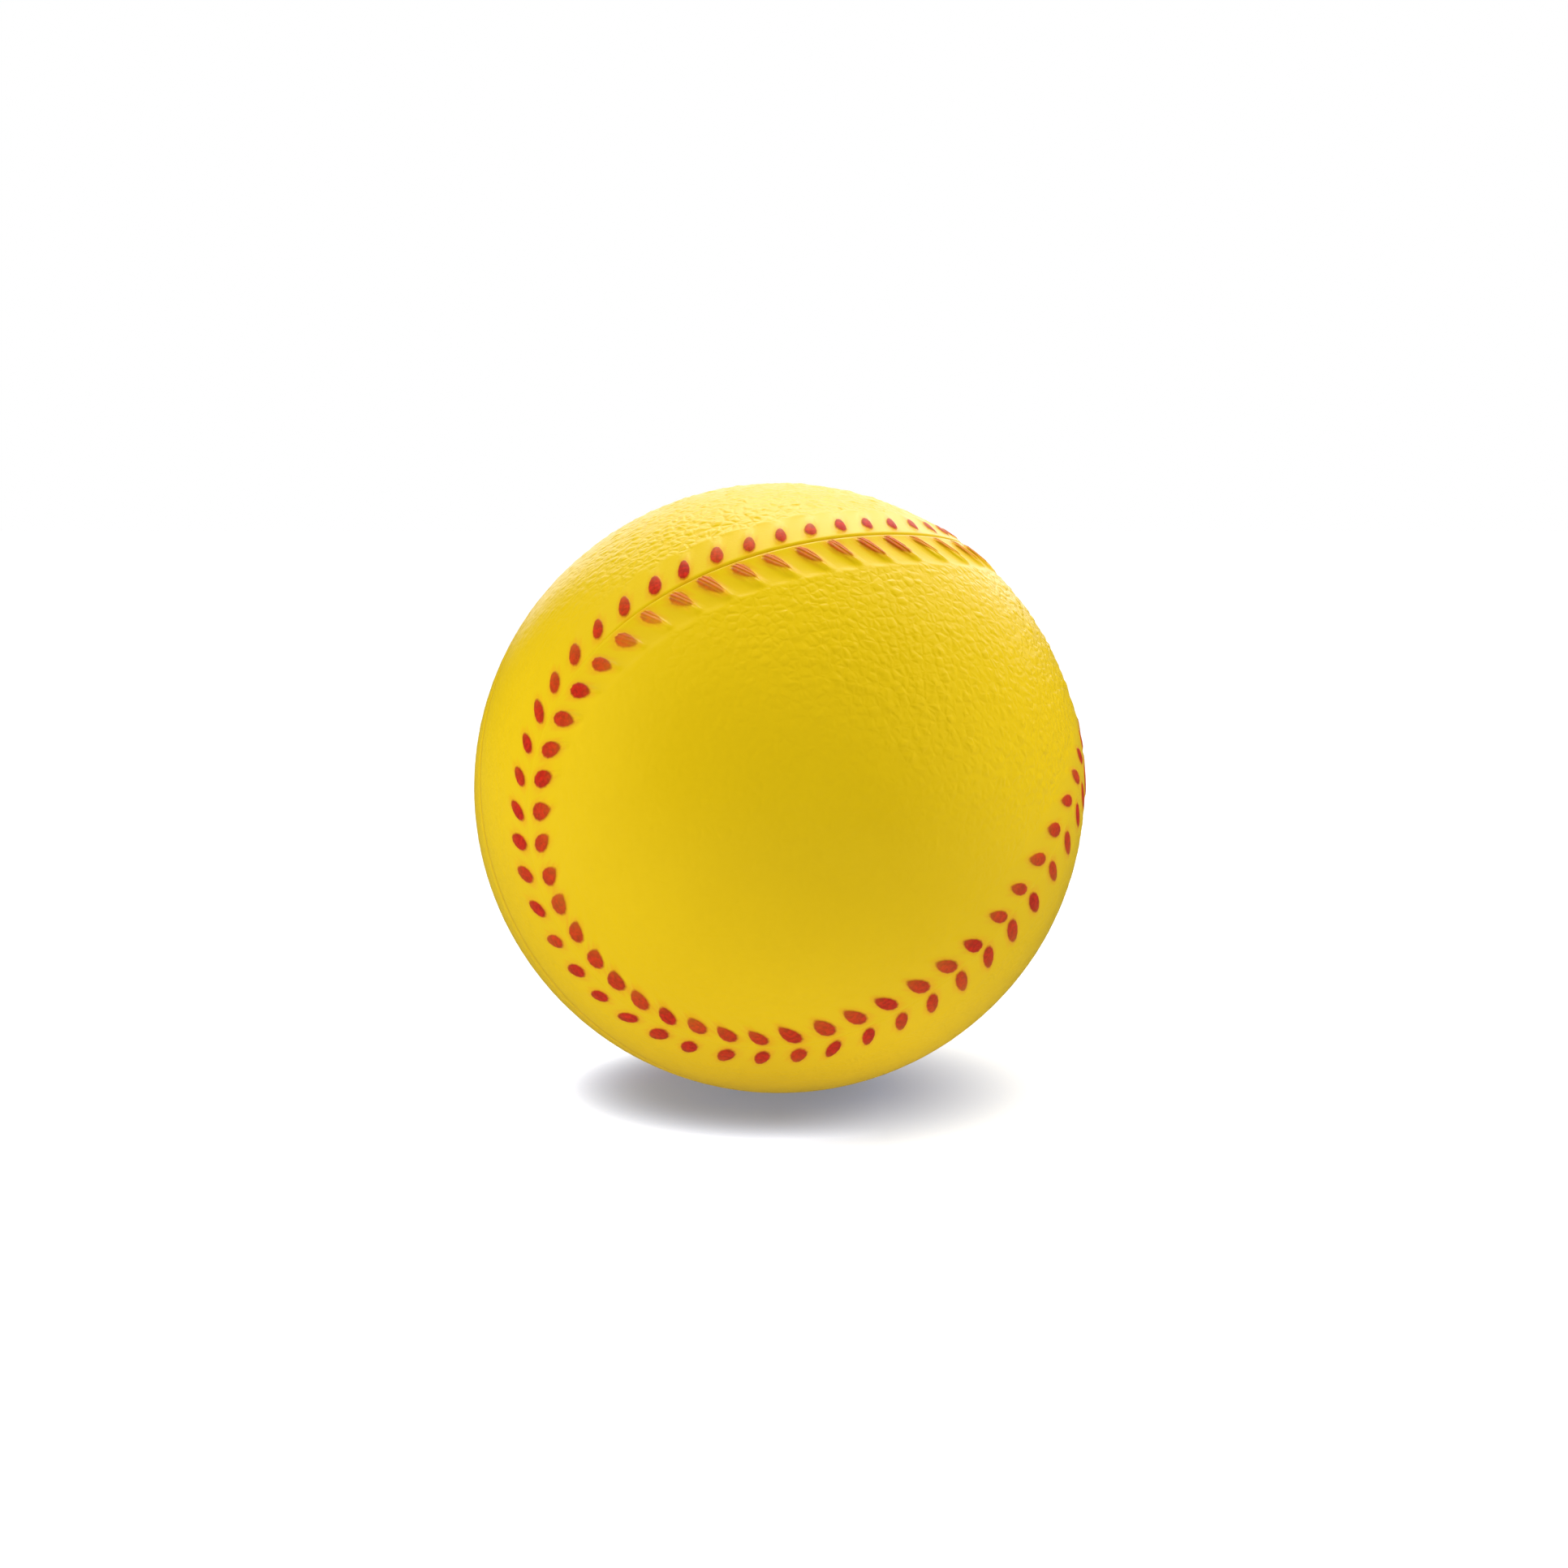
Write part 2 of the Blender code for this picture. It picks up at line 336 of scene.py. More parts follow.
flat_strip = coordinates(cell)
far_edge = np.flatnonzero(flat_strip[:, 1] > BAND_END - TINY)
far_edge = far_edge[np.argsort(flat_strip[far_edge, 0])][:-1]
near_edge = np.flatnonzero(flat_strip[:, 1] < SLIT + TINY)
near_edge = near_edge[np.argsort(flat_strip[near_edge, 0])][:-1]
skins = {}
for name in SIDE:
    skins[name] = copy_of(cell, name + "_skin")
    set_coordinates(skins[name], wrap(name, flat_strip))
print("points along the edge of a strip:", len(far_edge), len(near_edge))

# %% [markdown]
# ## The field of each panel
#
# Inside the strip of stitches the panel is plain ball, but it needs an even, fine net of faces to carry the
# pebble grain. A grid would bunch up at the panel's narrow waist. So points are strewn evenly over the whole
# ball on a golden-angle spiral, the ones inside the panel are kept, and a Delaunay fill joins them to the edge
# of the strip. It works in the plane, so the ball is first flattened by a stereographic projection, which keeps
# circles as circles. Low on the ball, where the grain is worn almost smooth, the points are further apart. The
# inside of the skin is filled in the same way with far fewer points.

# %% Fill a panel


def spread_points(spacing, radius):
    """Points spread evenly over a ball."""
    count = round(4 * math.pi * radius ** 2 / (0.866 * spacing ** 2))
    steps = np.arange(count) + 0.5
    height = 1 - 2 * steps / count
    heading = steps * math.pi * (3 - math.sqrt(5))
    flat = np.sqrt(1 - height ** 2)
    return np.stack([flat * np.cos(heading), flat * np.sin(heading), height], axis=1) * radius


def flattened(name, points):
    """Stereographic map of points on the ball, about the middle of a panel."""
    ways = points @ BALL_LIE
    ways = ways / np.linalg.norm(ways, axis=1, keepdims=True)
    return ways[:, :2] / (1 + SIDE[name] * ways[:, 2:])


def panel_sheet(name, ring, edge_offset, strewn, spacing):
    """A sheet of triangles that joins a ring of points to the strewn points inside it."""
    offsets = SIDE[name] * beside_seam(strewn)[1]
    points = np.concatenate([ring, strewn[offsets > edge_offset + 0.6 * spacing]])
    flat = [Vector(place) for place in flattened(name, points)]
    made = delaunay_2d_cdt(flat, [], [list(range(len(ring)))], 1, 1e-9, True)
    faces = [face for face, rings in zip(made[2], made[5]) if rings]
    source = [ids[0] for ids in made[3]]
    mesh = bpy.data.meshes.new(name + "_sheet")
    mesh.from_pydata(points[source].tolist(), [], faces)
    sheet = bpy.data.objects.new(name + "_sheet", mesh)
    bpy.context.scene.collection.objects.link(sheet)
    return sheet


GRAIN_SPACING, WORN_SPACING, WORN_BELOW = 0.275 * MM, 0.50 * MM, -4.0 * MM
close_points = spread_points(GRAIN_SPACING, BALL_RADIUS)
wide_points = spread_points(WORN_SPACING, BALL_RADIUS)
field_points = np.concatenate([
    close_points[close_points[:, 2] > WORN_BELOW], wide_points[wide_points[:, 2] <= WORN_BELOW]])
fields = {}
for name, skin in skins.items():
    fields[name] = panel_sheet(name, coordinates(skin)[far_edge], BAND_END, field_points, GRAIN_SPACING)
    print(name, "faces of the field:", len(fields[name].data.polygons))

# %% Close each skin into one solid
SKIN_INSIDE, INSIDE_SPACING = BALL_RADIUS - 1.2 * MM, 3.0 * MM
inside_points = spread_points(INSIDE_SPACING, SKIN_INSIDE)


def join_and_merge(*things):
    """Join objects into the first one, and merge the vertices that meet. Ends in edit mode."""
    only(things[0])
    for thing in things[1:]:
        thing.select_set(True)
    bpy.ops.object.join()
    bpy.ops.object.mode_set(mode="EDIT")
    bpy.ops.mesh.select_mode(type="EDGE")
    bpy.ops.mesh.select_all(action="SELECT")
    bpy.ops.mesh.remove_doubles(threshold=5 * TINY)
    bpy.ops.mesh.select_all(action="DESELECT")
    bpy.ops.mesh.select_non_manifold(extend=False)


for name, skin in skins.items():
    slit = coordinates(skin)[near_edge]
    inward = SKIN_INSIDE / np.linalg.norm(slit, axis=1).mean()
    inside = panel_sheet(name, slit * inward, SLIT, inside_points, INSIDE_SPACING)
    join_and_merge(skin, fields[name])
    bpy.ops.mesh.mark_sharp()
    bpy.ops.mesh.extrude_edges_move()
    bpy.ops.transform.resize(value=(inward, inward, inward), center_override=(0, 0, 0))
    bpy.ops.object.mode_set(mode="OBJECT")
    join_and_merge(skin, inside)
    bpy.ops.mesh.select_all(action="SELECT")
    bpy.ops.mesh.normals_make_consistent(inside=False)
    bpy.ops.mesh.select_all(action="DESELECT")
    bpy.ops.mesh.select_non_manifold(extend=False)
    bm = bmesh.from_edit_mesh(skin.data)
    open_edges = sum(edge.select for edge in bm.edges)
    print(name, "open edges:", open_edges, "volume in mm3:", round(bm.calc_volume(signed=True) / MM ** 3))
    bpy.ops.object.mode_set(mode="OBJECT")
    bpy.ops.object.shade_smooth()
bpy.data.objects.remove(cell)

# %% [markdown]
# ## Pebble grain
#
# The mould's surface is etched like leather: low round pebbles a little over a millimetre across. A bump map
# alone would leave the outline and the printed mesh smooth, so a Displace modifier moves the field's points by
# a cell pattern, and a vertex group keeps the grain out of the smooth pockets that the stitches lie in. The
# group's edge follows the round ends of the pockets.

# %% Measure where each point of a skin lies
OUTER_DEPTH = 0.6 * MM
skin_places = {}
for name, skin in skins.items():
    stitch, offset = beside_seam(coordinates(skin))
    offset = np.abs(offset)
    number, beside = in_row(name, stitch, offset)
    outside = np.linalg.norm(coordinates(skin), axis=1) > BALL_RADIUS - OUTER_DEPTH
    skin_places[name] = {
        "stitch": stitch, "offset": offset, "number": number, "beside": beside, "outside": outside}
    print(name, "points outside:", int(outside.sum()), "of", len(outside))

# %% Emboss the grain
GRAIN_SIZE, GRAIN_HEIGHT = 1.30 * MM, 0.39 * MM
GRAIN_BEST = np.array((0.50, 0.00, 0.87)) / BALL_RADIUS
GRAIN_LEFT = {0.05: 0.25, 0.27: 0.42, 0.50: 1.00}
GRAIN_FROM, GRAIN_FADE, GRAIN_SCALLOP = 5.0 * MM, 0.9 * MM, 0.4 * MM
GRAIN_STEPS, GRAIN_LEVEL = 10, 0.4
grain = bpy.data.textures.new("leather_pebbles", "VORONOI")
grain.noise_scale = GRAIN_SIZE
grain.weight_1, grain.weight_2 = -1.0, 1.0
for name, skin in skins.items():
    where = skin_places[name]
    starts = GRAIN_FROM - GRAIN_SCALLOP * np.cos(2 * math.pi * where["beside"] / PITCH)
    share = np.clip((where["offset"] - starts) / GRAIN_FADE, 0, 1) * where["outside"]
    share = share * np.interp(coordinates(skin) @ GRAIN_BEST, list(GRAIN_LEFT), list(GRAIN_LEFT.values()))
    skin.data.attributes.new("grain_share", "FLOAT", "POINT").data.foreach_set("value", share)
    group = skin.vertex_groups.new(name="grain")
    for level in range(1, GRAIN_STEPS + 1):
        members = np.flatnonzero(np.round(share * GRAIN_STEPS) == level)
        group.add(members.tolist(), level / GRAIN_STEPS, "REPLACE")
    press = skin.modifiers.new("grain", "DISPLACE")
    press.texture = grain
    press.texture_coords = "LOCAL"
    press.vertex_group = "grain"
    press.strength = GRAIN_HEIGHT
    press.mid_level = GRAIN_LEVEL
    before = coordinates(skin)
    apply_all(skin)
    moved = np.linalg.norm(coordinates(skin) - before, axis=1)
    print(name, "grain moves points by up to", round(moved.max() / MM, 3), "mm")

# %% Press in the needle holes and the line where the mould parts
HOLE_AT, HOLE_SIZE, HOLE_DEPTH = 4.35 * MM, 0.30 * MM, 0.25 * MM
PARTING = Vector((0.3071, -0.9205, 0.2418)).normalized()
PARTING_WIDTH, PARTING_DEPTH = 0.34 * MM, 0.10 * MM
for name, skin in skins.items():
    where = skin_places[name]
    places = coordinates(skin)
    hole = np.exp(-(where["beside"] ** 2 + (where["offset"] - HOLE_AT) ** 2) / (2 * HOLE_SIZE ** 2))
    hole = hole * (name == "back") * along_row(RELIEF[name], where["number"])
    parting = np.exp(-(places @ np.array(PARTING)) ** 2 / (2 * PARTING_WIDTH ** 2))
    sunk = (HOLE_DEPTH * hole + PARTING_DEPTH * parting) * where["outside"]
    set_coordinates(skin, places * (1 - sunk / BALL_RADIUS)[:, None])
    print(name, "points pressed in:", int((sunk > 0.01 * MM).sum()))

# %% Mark the strands of the thread
STRANDS_HALF_WIDTH, STRANDS_END = 0.70 * MM, 4.5 * MM
SIDE_FADE, END_FADE, START_FADE = 0.2 * MM, 1.0 * MM, 0.4 * MM
for name, skin in skins.items():
    where = skin_places[name]
    inside = np.clip((STRANDS_HALF_WIDTH - np.abs(where["beside"])) / SIDE_FADE, 0, 1)
    inside = inside * np.clip((STRANDS_END - where["offset"]) / END_FADE, 0, 1)
    inside = inside * np.clip((where["offset"] - THREAD_NEAR) / START_FADE, 0, 1)
    depth = inside * along_row(STRANDS[name], where["number"]) * where["outside"]
    for label, values in (("strand_place", where["beside"]), ("strand_depth", depth)):
        skin.data.attributes.new(label, "FLOAT", "POINT").data.foreach_set("value", values)
    print(name, "points on the strands:", int((depth > 0).sum()))

# %% [markdown]
# ## Red paint on the threads
#
# A worker dabs red paint on each thread, so no two marks are quite alike: they differ in length, width and
# lean, and a few are thin and pale. One leaf of paint is modelled from a circle with two insets, copied for
# every stitch with small seeded changes, and laid on the skin with a Shrinkwrap modifier. The middle of each
# leaf stands a little proud and its rim dips under the skin, so the paint thins to nothing at its edge. Solidify
# gives the film a thickness that sinks into the skin, so no mark floats. Tables give the sizes of the marks in
# millimetres along each row, as for the mould.

# %% Model one leaf of paint
LEAF_CORNERS, LEAF_STRETCH, RIM_WIDTH, SLOPE_WIDTH, EDGE_STARTS = 12, 1.22, 0.07, 0.13, 0.5
bpy.ops.object.select_all(action="DESELECT")
bpy.ops.mesh.primitive_circle_add(vertices=LEAF_CORNERS, radius=0.5, fill_type="NGON", location=(0, 0, 0))
leaf = bpy.context.object
leaf.name = "paint_leaf"
bpy.ops.object.mode_set(mode="EDIT")
pick_verts(leaf, lambda co: abs(co.x) < 0.05)
bpy.ops.transform.resize(value=(1, LEAF_STRETCH, 1), center_override=(0, 0, 0))
bpy.ops.mesh.select_mode(type="FACE")
bpy.ops.mesh.select_all(action="SELECT")
bpy.ops.mesh.inset(thickness=RIM_WIDTH)
bpy.ops.mesh.inset(thickness=SLOPE_WIDTH)
bpy.ops.mesh.poke()
bpy.ops.object.mode_set(mode="OBJECT")
rim = 2 * np.hypot(coordinates(leaf)[:, 0], coordinates(leaf)[:, 1])
edge = leaf.data.attributes.new("paint_edge", "FLOAT", "POINT")
edge.data.foreach_set("value", np.clip((rim - EDGE_STARTS) / (1 - EDGE_STARTS), 0, 1))
for label in ("paint_tail", "paint_thin", "strand_place", "strand_depth"):
    leaf.data.attributes.new(label, "FLOAT", "POINT")
print("faces of one leaf:", len(leaf.data.polygons))

# %% Choose the painter's changes for every mark
SOFT_EDGE = 1.38
POINTED = {"front": 1.00, "back": 0.50}
PAINT_LENGTH = {
    "front": {34: 3.05, 38: 3.00, 44: 3.15, 47: 2.65, 51: 2.80, 55: 2.45, 58: 2.85, 61: 2.95, 63: 2.65,
              66: 3.05, 80: 3.10},
    "back": {34: 3.45, 40: 3.40, 45: 2.85, 52: 2.65, 58: 2.60, 66: 2.60, 70: 2.10}}
PAINT_WIDTH = {
    "front": {34: 1.26, 38: 1.30, 42: 1.60, 46: 1.72, 50: 1.98, 53: 2.05, 56: 1.75, 60: 1.65, 64: 1.45,
              72: 1.45, 73: 1.00, 80: 1.00, 84: 1.30},
    "back": {36: 1.52, 42: 1.36, 48: 1.50, 55: 1.58, 59: 1.22, 64: 1.36, 70: 1.10}}
PAINT_OFFSET = {
    "front": {36: 2.40, 39: 1.85, 43: 2.65, 46: 2.10, 50: 2.35, 55: 2.50, 62: 2.40, 66: 2.05, 74: 2.10},
    "back": {34: 2.25, 40: 2.22, 43: 1.95, 47: 2.40, 53: 2.45, 57: 1.95, 62: 2.05}}
PAINT_THIN = {
    "front": {61: 0.04, 63: 0.24, 64: 0.48, 66: 0.34, 72: 0.30, 73: 0.60, 79: 0.60, 84: 0.04},
    "back": {0: 0.03}}
PLACE_SLIP, OFFSET_SLIP, LEAN_SLIP, SIZE_SLIP, THIN_SLIP = 0.02, 0.08, 4, 0.05, 0.04
LEAST_POINTED, MOST_POINTED, THINNEST = 0.35, 0.90, 0.6
brush = random.Random(108)
marks = {}
for name in SIDE:
    for number in range(STITCH_PAIRS):
        marks[(name, number)] = {
            "stitch": number + along_row(ROW_PLACE[name], number) + brush.gauss(0, PLACE_SLIP),
            "offset": (along_row(PAINT_OFFSET[name], number) + brush.gauss(0, OFFSET_SLIP)) * MM,
            "lean": math.radians(along_row(ROW_LEAN[name], number) + brush.gauss(0, LEAN_SLIP)),
            "length": along_row(PAINT_LENGTH[name], number) * SOFT_EDGE * MM * brush.gauss(1, SIZE_SLIP),
            "width": along_row(PAINT_WIDTH[name], number) * SOFT_EDGE * MM * brush.gauss(1, SIZE_SLIP),
            "point": brush.uniform(LEAST_POINTED, MOST_POINTED) * POINTED[name],
            "thin": float(np.clip(
                along_row(PAINT_THIN[name], number) + brush.gauss(0, THIN_SLIP), 0, THINNEST))}
print("marks:", len(marks))

# %% Copy the leaf to every stitch of a run
RUNS = 4
STITCHES_PER_RUN = STITCH_PAIRS // RUNS


def dab(name, number):
    """One leaf of paint on the ball, with the painter's changes."""
    copied = copy_of(leaf, f"{name}_dab_{number}")
    mark = marks[(name, number)]
    flat = coordinates(copied)
    across = flat[:, 0] * mark["width"] * (1 - mark["point"] * flat[:, 1])
    along = flat[:, 1] * mark["length"]
    ahead = across * math.cos(mark["lean"]) + along * math.sin(mark["lean"])
    away = along * math.cos(mark["lean"]) - across * math.sin(mark["lean"])
    set_coordinates(copied, on_ball(
        mark["stitch"] + ahead / PITCH, SIDE[name] * (mark["offset"] + away), np.zeros(len(flat))))
    strands = np.full(len(flat), along_row(STRANDS[name], number))
    thin = np.full(len(flat), mark["thin"])
    for label, values in (("paint_thin", thin), ("paint_tail", flat[:, 1] + 0.5),
                          ("strand_place", across), ("strand_depth", strands)):
        copied.data.attributes[label].data.foreach_set("value", values)
    return copied


paints = {}
for name in SIDE:
    for run_number in range(RUNS):
        first = run_number * STITCHES_PER_RUN
        dabs = [dab(name, number) for number in range(first, first + STITCHES_PER_RUN)]
        only(dabs[0])
        for piece in dabs[1:]:
            piece.select_set(True)
        bpy.ops.object.join()
        run = bpy.context.object
        run.name = run.data.name = f"{name}_stitch_paint_{run_number + 1}"
        paints[(name, run_number + 1)] = run
bpy.data.objects.remove(leaf)
print("runs of paint:", len(paints))

# %% Lay the paint on the skin
FILM, FILM_OVER, RIM_UNDER = 0.16 * MM, 0.11 * MM, 0.04 * MM
FILM_SHARP = math.radians(50)
for (name, _), run in paints.items():
    lay = run.modifiers.new("lie_on_skin", "SHRINKWRAP")
    lay.target = skins[name]
    lay.wrap_method = "NEAREST_SURFACEPOINT"
    lay.wrap_mode = "ABOVE_SURFACE"
    apply_all(run)
    rim = np.empty(len(run.data.vertices))
    run.data.attributes["paint_edge"].data.foreach_get("value", rim)
    lift = FILM_OVER - (FILM_OVER + RIM_UNDER) * rim ** 3
    set_coordinates(run, coordinates(run) * (1 + lift / BALL_RADIUS)[:, None])
    if name == "front":
        bpy.ops.object.mode_set(mode="EDIT")
        bpy.ops.mesh.select_all(action="SELECT")
        bpy.ops.mesh.flip_normals()
        bpy.ops.object.mode_set(mode="OBJECT")
    film = run.modifiers.new("film", "SOLIDIFY")
    film.thickness = FILM
    film.offset = -1
    apply_all(run)
    bpy.ops.object.mode_set(mode="EDIT")
    bpy.ops.mesh.select_all(action="SELECT")
    bpy.ops.mesh.normals_make_consistent(inside=False)
    bpy.ops.object.mode_set(mode="OBJECT")
    bpy.ops.object.shade_smooth_by_angle(angle=FILM_SHARP)
print("faces of one run of paint:", len(run.data.polygons))

# %% Mark where paint has spread on the skin
SPREAD, LEAF_END = 0.26 * MM, 0.6
for name, skin in skins.items():
    where = skin_places[name]

    def of_mark(label):
        """One value of the nearest mark, for every point of the skin."""
        return np.array([marks[(name, number)][label] for number in range(STITCH_PAIRS)])[where["number"]]

    ahead = (where["stitch"] - of_mark("stitch") + STITCH_PAIRS / 2) % STITCH_PAIRS - STITCH_PAIRS / 2
    away = where["offset"] - of_mark("offset")
    lean = of_mark("lean")
    across = ahead * PITCH * np.cos(lean) - away * np.sin(lean)
    along = (ahead * PITCH * np.sin(lean) + away * np.cos(lean)) / of_mark("length")
    across = across / of_mark("width") / (1 - of_mark("point") * np.clip(along, -LEAF_END, LEAF_END))
    gap = (np.hypot(across, along) - 0.5) * of_mark("width")
    halo = np.clip(1 - gap / SPREAD, 0, 1) * where["outside"]
    spread = skin.data.attributes.new("paint_spread", "FLOAT", "POINT")
    spread.data.foreach_set("value", halo)
    print(name, "points that paint has reached:", int((halo > 0).sum()))

# %% [markdown]
# ## The foam inside
#
# Under the skin the ball is soft foam all the way through, full of small bubbles. It doesn't show, but the part
# is kept whole. It starts as an icosphere a little smaller than the hollow of the skin, and a Displace modifier
# roughens it the way cut foam is rough.

# %% Model the foam
CORE_RADIUS = 34.95 * MM
BUBBLE_SIZE, BUBBLE_DEPTH = 1.6 * MM, 0.3 * MM
bpy.ops.object.select_all(action="DESELECT")
bpy.ops.mesh.primitive_ico_sphere_add(subdivisions=6, radius=CORE_RADIUS, location=(0, 0, 0))
core = bpy.context.object
core.name = core.data.name = "core_foam"
bubbles = bpy.data.textures.new("foam_bubbles", "CLOUDS")
bubbles.noise_scale = BUBBLE_SIZE
rough = core.modifiers.new("bubbles", "DISPLACE")
rough.texture = bubbles
rough.texture_coords = "LOCAL"
rough.strength = BUBBLE_DEPTH
rough.mid_level = 1.0
apply_all(core)
bpy.ops.object.shade_smooth()
print("faces of the foam:", len(core.data.polygons))

# %% [markdown]
# ## Finishes
#
# The skin, the paint and the foam all show the same tiny pores of moulded foam, at different strengths. So the
# pores are one node group, with a size going in, and a height for bump and a soft mottle for colour coming out.
# It reads Object coordinates, so the pattern stays put on the ball from every side.

# %% Node helpers


def add_node(tree, kind, inputs=None, **settings):
    """A node with its settings, and with values or links for its inputs."""
    node = tree.nodes.new(kind)
    for name, value in settings.items():
        setattr(node, name, value)
    for name, value in (inputs or {}).items():
        if isinstance(value, bpy.types.NodeSocket):
            tree.links.new(value, node.inputs[name])
        else:
            node.inputs[name].default_value = value
    return node


def maths(tree, operation, first, second=0.0):
    """A sum with one value or two."""
    return add_node(tree, "ShaderNodeMath", {0: first, 1: second}, operation=operation).outputs[0]


def between(tree, value, low, high, at_low=0.0, at_high=1.0):
    """A value that runs from one number to another between two ends."""
    ends = {"Value": value, "From Min": low, "From Max": high, "To Min": at_low, "To Max": at_high}
    return add_node(tree, "ShaderNodeMapRange", ends).outputs["Result"]


def mixed(tree, factor, first, second):
    """The colour between two colours."""
    node = add_node(tree, "ShaderNodeMix", {"Factor": factor, 6: first, 7: second}, data_type="RGBA")
    return node.outputs[2]


def carried(tree, label):
    """A value that a piece carries at each of its points."""
    return add_node(tree, "ShaderNodeAttribute", attribute_name=label).outputs["Fac"]


def bump(tree, shader, strength, distance, height):
    """Add a bump to a surface, on top of the bumps that it has."""
    node = add_node(tree, "ShaderNodeBump", {"Strength": strength, "Distance": distance, "Height": height})
    for link in shader.inputs["Normal"].links:
        tree.links.new(link.from_socket, node.inputs["Normal"])
    tree.links.new(node.outputs["Normal"], shader.inputs["Normal"])


def new_material(name):
    """A material with its tree and its Principled shader."""
    material = bpy.data.materials.new(name)
    material.use_nodes = True
    return material, material.node_tree, material.node_tree.nodes["Principled BSDF"]


# %% Pores of moulded foam, for every finish
MOTTLE_PER_METRE = 55.0
pores = bpy.data.node_groups.new("foam_pores", "ShaderNodeTree")
pores.interface.new_socket("Place", in_out="INPUT", socket_type="NodeSocketVector")
pores.interface.new_socket("Pores per metre", in_out="INPUT", socket_type="NodeSocketFloat")
pores.interface.new_socket("Height", in_out="OUTPUT", socket_type="NodeSocketFloat")
pores.interface.new_socket("Mottle", in_out="OUTPUT", socket_type="NodeSocketFloat")
pores_in = add_node(pores, "NodeGroupInput")
pores_out = add_node(pores, "NodeGroupOutput")
fine = add_node(pores, "ShaderNodeTexNoise", {
    "Vector": pores_in.outputs["Place"], "Scale": pores_in.outputs["Pores per metre"],
    "Detail": 3.0, "Roughness": 0.6})
wide = add_node(pores, "ShaderNodeTexNoise", {
    "Vector": pores_in.outputs["Place"], "Scale": MOTTLE_PER_METRE, "Detail": 3.0, "Roughness": 0.5})
pores.links.new(fine.outputs["Fac"], pores_out.inputs["Height"])
pores.links.new(wide.outputs["Fac"], pores_out.inputs["Mottle"])


def add_pores(tree, place, per_metre):
    """The pores in a material, at a size of its own."""
    values = {"Place": place, "Pores per metre": per_metre}
    return add_node(tree, "ShaderNodeGroup", values, node_tree=pores).outputs


print("outputs of the pores:", [socket.name for socket in pores_out.inputs if socket.name])

# %% Strands of the thread, for the skin and the paint
STRAND_WIDTH = 0.50 * MM
GAP_STARTS, GAP_DEEPEST = 0.2, -1.0
strands = bpy.data.node_groups.new("thread_strands", "ShaderNodeTree")
strands.interface.new_socket("Place", in_out="INPUT", socket_type="NodeSocketFloat")
strands.interface.new_socket("Depth", in_out="INPUT", socket_type="NodeSocketFloat")
strands.interface.new_socket("Height", in_out="OUTPUT", socket_type="NodeSocketFloat")
strands.interface.new_socket("Gap", in_out="OUTPUT", socket_type="NodeSocketFloat")
strands_in = add_node(strands, "NodeGroupInput").outputs
strands_out = add_node(strands, "NodeGroupOutput")
angle = maths(strands, "MULTIPLY", strands_in["Place"], 2 * math.pi / STRAND_WIDTH)
wave = maths(strands, "COSINE", angle)
strand_height = maths(strands, "MULTIPLY", wave, strands_in["Depth"])
in_gap = between(strands, wave, GAP_STARTS, GAP_DEEPEST)
strand_gap = maths(strands, "MULTIPLY", in_gap, strands_in["Depth"])
strands.links.new(strand_height, strands_out.inputs["Height"])
strands.links.new(strand_gap, strands_out.inputs["Gap"])


def add_strands(tree):
    """The strands in a material, at the places that the piece's own attributes give."""
    values = {"Place": carried(tree, "strand_place"), "Depth": carried(tree, "strand_depth")}
    return add_node(tree, "ShaderNodeGroup", values, node_tree=strands).outputs


print("outputs of the strands:", [socket.name for socket in strands_out.inputs if socket.name])

# %% Yellow skin: colour and sheen
SKIN_PORES = 2600.0
DEEP_YELLOW, PALE_YELLOW = (0.745, 0.500, 0.0030, 1), (0.800, 0.552, 0.0042, 1)
PARTING_BROWN, PARTING_SHARE, PARTING_FADE = (0.60, 0.34, 0.003, 1), 0.60, 0.6 * MM
STAIN_ORANGE, STAIN_SHARE = (0.78, 0.30, 0.008, 1), 0.50
skin_finish, tree, shader = new_material("yellow_foam_skin")
place = add_node(tree, "ShaderNodeTexCoord").outputs["Object"]
skin_pores = add_pores(tree, place, SKIN_PORES)
yellow = mixed(tree, skin_pores["Mottle"], DEEP_YELLOW, PALE_YELLOW)
over_parting = add_node(tree, "ShaderNodeVectorMath", {0: place, 1: PARTING}, operation="DOT_PRODUCT")
from_parting = maths(tree, "ABSOLUTE", over_parting.outputs["Value"])
parting_line = between(tree, from_parting, 0.0, PARTING_FADE, PARTING_SHARE, 0.0)
lined = mixed(tree, parting_line, yellow, PARTING_BROWN)
stain = maths(tree, "MULTIPLY", carried(tree, "paint_spread"), STAIN_SHARE)
tree.links.new(mixed(tree, stain, lined, STAIN_ORANGE), shader.inputs["Base Color"])
tree.links.new(between(tree, skin_pores["Mottle"], 0.0, 1.0, 0.30, 0.36), shader.inputs["Roughness"])
shader.inputs["Specular IOR Level"].default_value = 0.27
shader.inputs["Specular Tint"].default_value = (1.0, 0.80, 0.35, 1)
print("nodes of the skin's colour:", len(tree.nodes))

